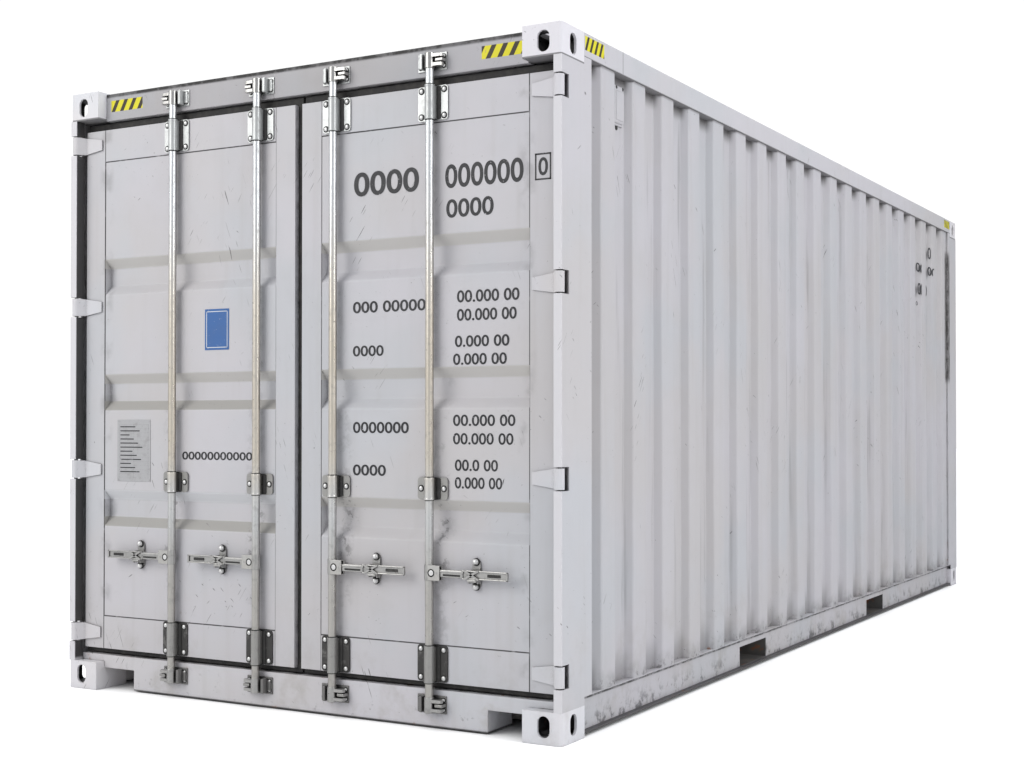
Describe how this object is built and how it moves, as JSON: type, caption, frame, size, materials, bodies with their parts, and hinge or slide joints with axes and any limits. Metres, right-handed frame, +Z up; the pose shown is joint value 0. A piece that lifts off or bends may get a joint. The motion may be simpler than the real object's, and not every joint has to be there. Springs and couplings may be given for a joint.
{
  "type": "shipping container",
  "caption": "Steel freight container with corrugated walls, corner castings and two hinged end doors with turning locking bars and lifting handles.",
  "frame": {"origin": "middle of the base, on the plane of the bottom castings' undersides", "axes": "+X across to the right seen from the door end, +Y along from the doors to the closed end, +Z up"},
  "size_m": [2.438, 6.058, 2.591],
  "materials": {
    "light_grey_paint": "weathered satin paint, light cool grey, with grime and nicks",
    "underside_paint": "matt dark coating",
    "zinc_steel": "zinc plated steel, yellowed and dulled with age",
    "dark_steel": "dull forged steel",
    "black_rubber": "matt black rubber",
    "floor_plywood": "brown sealed plywood",
    "plate_metal": "dull grey metal plate"
  },
  "bodies": {
    "container": {"blind_bottom_rail": "light_grey_paint", "blind_end_wall": "light_grey_paint", "blind_post_left": "light_grey_paint", "blind_post_right": "light_grey_paint", "blind_top_rail": "light_grey_paint", "bottom_side_rail_left": "light_grey_paint", "bottom_side_rail_right": "light_grey_paint", "cam_keepers": "zinc_steel", "corner_castings_bottom": "light_grey_paint", "corner_castings_top": "light_grey_paint", "crossmembers": "underside_paint", "door_header": "light_grey_paint", "door_post_left": "light_grey_paint", "door_post_right": "light_grey_paint", "door_sill": "light_grey_paint", "floor_boards": "floor_plywood", "fork_pockets": "underside_paint", "hinge_pins_left": "dark_steel", "hinge_pins_right": "dark_steel", "roof_sheet": "light_grey_paint", "side_wall_left": "light_grey_paint", "side_wall_right": "light_grey_paint", "top_side_rail_left": "light_grey_paint", "top_side_rail_right": "light_grey_paint", "wall_vents": "light_grey_paint"},
    "door_left": {"leaf_frame_left": "light_grey_paint", "leaf_panel_left": "light_grey_paint", "leaf_gasket_left": "black_rubber", "hinge_blades_left": "light_grey_paint", "rod_brackets_left": "zinc_steel", "handle_catches_left": "zinc_steel", "data_plate": "plate_metal"},
    "door_right": {"leaf_frame_right": "light_grey_paint", "leaf_panel_right": "light_grey_paint", "leaf_gasket_right": "black_rubber", "hinge_blades_right": "light_grey_paint", "rod_brackets_right": "zinc_steel", "handle_catches_right": "zinc_steel"},
    "bar_left_inner": {"locking_bar_left_inner": "zinc_steel"},
    "grip_left_inner": {"handle_left_inner": "zinc_steel"},
    "bar_left_outer": {"locking_bar_left_outer": "zinc_steel"},
    "grip_left_outer": {"handle_left_outer": "zinc_steel"},
    "bar_right_inner": {"locking_bar_right_inner": "zinc_steel"},
    "grip_right_inner": {"handle_right_inner": "zinc_steel"},
    "bar_right_outer": {"locking_bar_right_outer": "zinc_steel"},
    "grip_right_outer": {"handle_right_outer": "zinc_steel"}
  },
  "joints": [
    {"name": "door_left_swing", "type": "hinge", "parent": "container", "child": "door_left", "pos_m": [-1.201, -3.011, 1.2], "axis": [0, 0, -1], "range_deg": [0, 258]},
    {"name": "bar_left_inner_turn", "type": "hinge", "parent": "door_left", "child": "bar_left_inner", "pos_m": [-0.192, -3.009, 1.3], "axis": [0, 0, -1], "range_deg": [-100, 0]},
    {"name": "handle_left_inner_lift", "type": "hinge", "parent": "bar_left_inner", "child": "grip_left_inner", "pos_m": [-0.228, -3.021, 0.59], "axis": [0, 1, 0], "range_deg": [0, 15]},
    {"name": "bar_left_outer_turn", "type": "hinge", "parent": "door_left", "child": "bar_left_outer", "pos_m": [-0.6445, -3.009, 1.3], "axis": [0, 0, -1], "range_deg": [-100, 0]},
    {"name": "handle_left_outer_lift", "type": "hinge", "parent": "bar_left_outer", "child": "grip_left_outer", "pos_m": [-0.6805, -3.021, 0.59], "axis": [0, 1, 0], "range_deg": [0, 15]},
    {"name": "door_right_swing", "type": "hinge", "parent": "container", "child": "door_right", "pos_m": [1.201, -3.011, 1.2], "axis": [0, 0, 1], "range_deg": [0, 258]},
    {"name": "bar_right_inner_turn", "type": "hinge", "parent": "door_right", "child": "bar_right_inner", "pos_m": [0.192, -3.009, 1.3], "axis": [0, 0, 1], "range_deg": [-100, 0]},
    {"name": "handle_right_inner_lift", "type": "hinge", "parent": "bar_right_inner", "child": "grip_right_inner", "pos_m": [0.228, -3.021, 0.59], "axis": [0, -1, 0], "range_deg": [0, 15]},
    {"name": "bar_right_outer_turn", "type": "hinge", "parent": "door_right", "child": "bar_right_outer", "pos_m": [0.6445, -3.009, 1.3], "axis": [0, 0, 1], "range_deg": [-100, 0]},
    {"name": "handle_right_outer_lift", "type": "hinge", "parent": "bar_right_outer", "child": "grip_right_outer", "pos_m": [0.6805, -3.021, 0.59], "axis": [0, -1, 0], "range_deg": [0, 15]}
  ]
}
